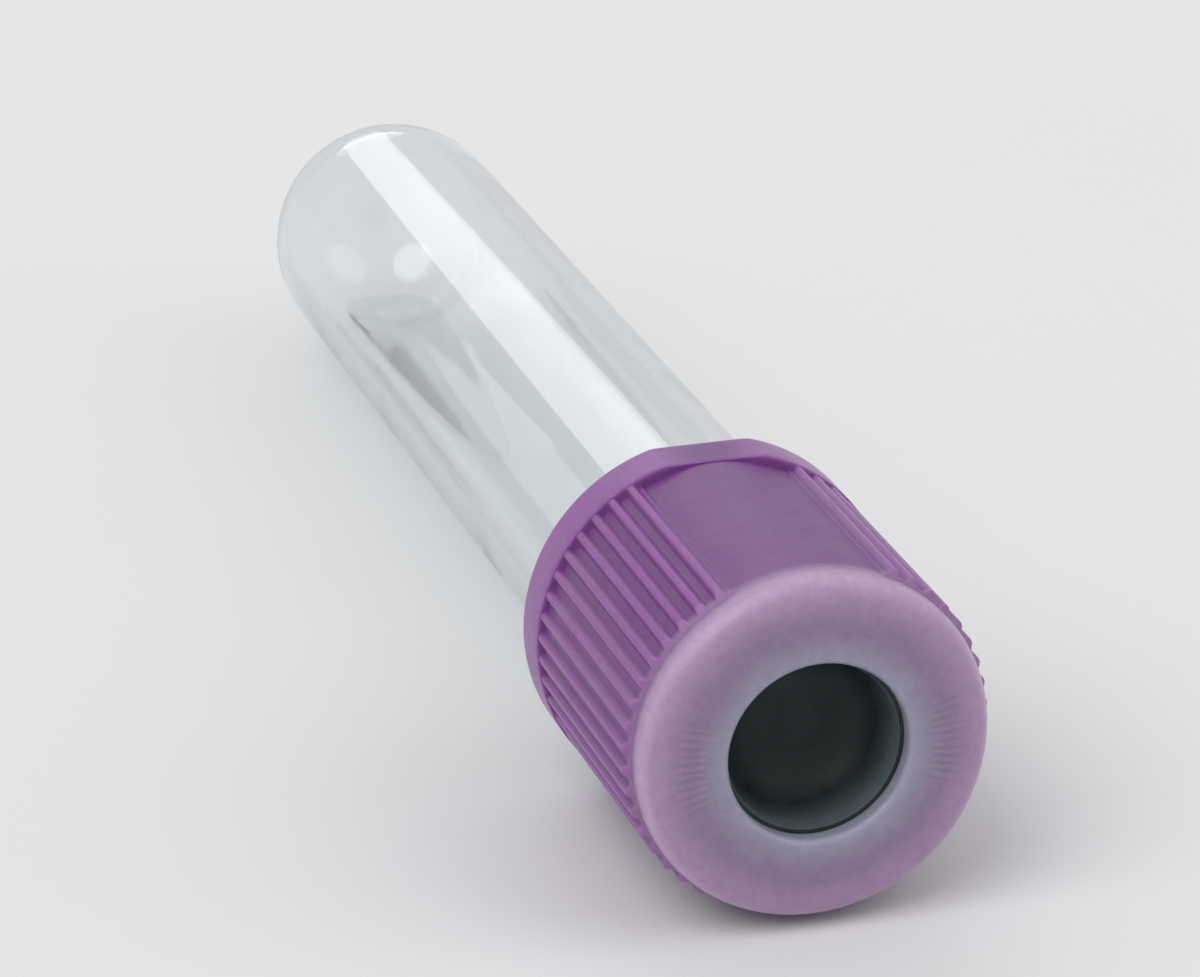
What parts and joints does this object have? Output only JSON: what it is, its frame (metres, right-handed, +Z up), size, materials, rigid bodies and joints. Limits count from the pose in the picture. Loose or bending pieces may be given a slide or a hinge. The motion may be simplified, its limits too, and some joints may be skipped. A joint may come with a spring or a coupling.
{
  "type": "blood collection tube",
  "caption": "Clear round-bottomed evacuated tube lying on its side, sealed by a dark rubber stopper in a ribbed lavender cap with a needle hole.",
  "frame": {"origin": "middle of the overall box, on the floor", "axes": "+X along the tube towards its cap, +Z up, with the tube lying on its side and its cap end 1.7 degrees higher"},
  "size_m": [0.08, 0.017, 0.0167],
  "materials": {
    "clear_pet": "clear, moulded, polished",
    "additive": "clear liquid",
    "stopper_rubber": "satin, moulded, greenish black",
    "cap_plastic": "satin, slightly translucent lavender"
  },
  "bodies": {
    "barrel": {"tube": "clear_pet", "edta_additive": "additive"},
    "closure": {"cap": "cap_plastic", "stopper": "stopper_rubber"}
  },
  "joints": [
    {"name": "closure_pull", "type": "slide", "parent": "barrel", "child": "closure", "axis": [0.9996, 0, 0.0295], "range_m": [0, 0.03]}
  ]
}
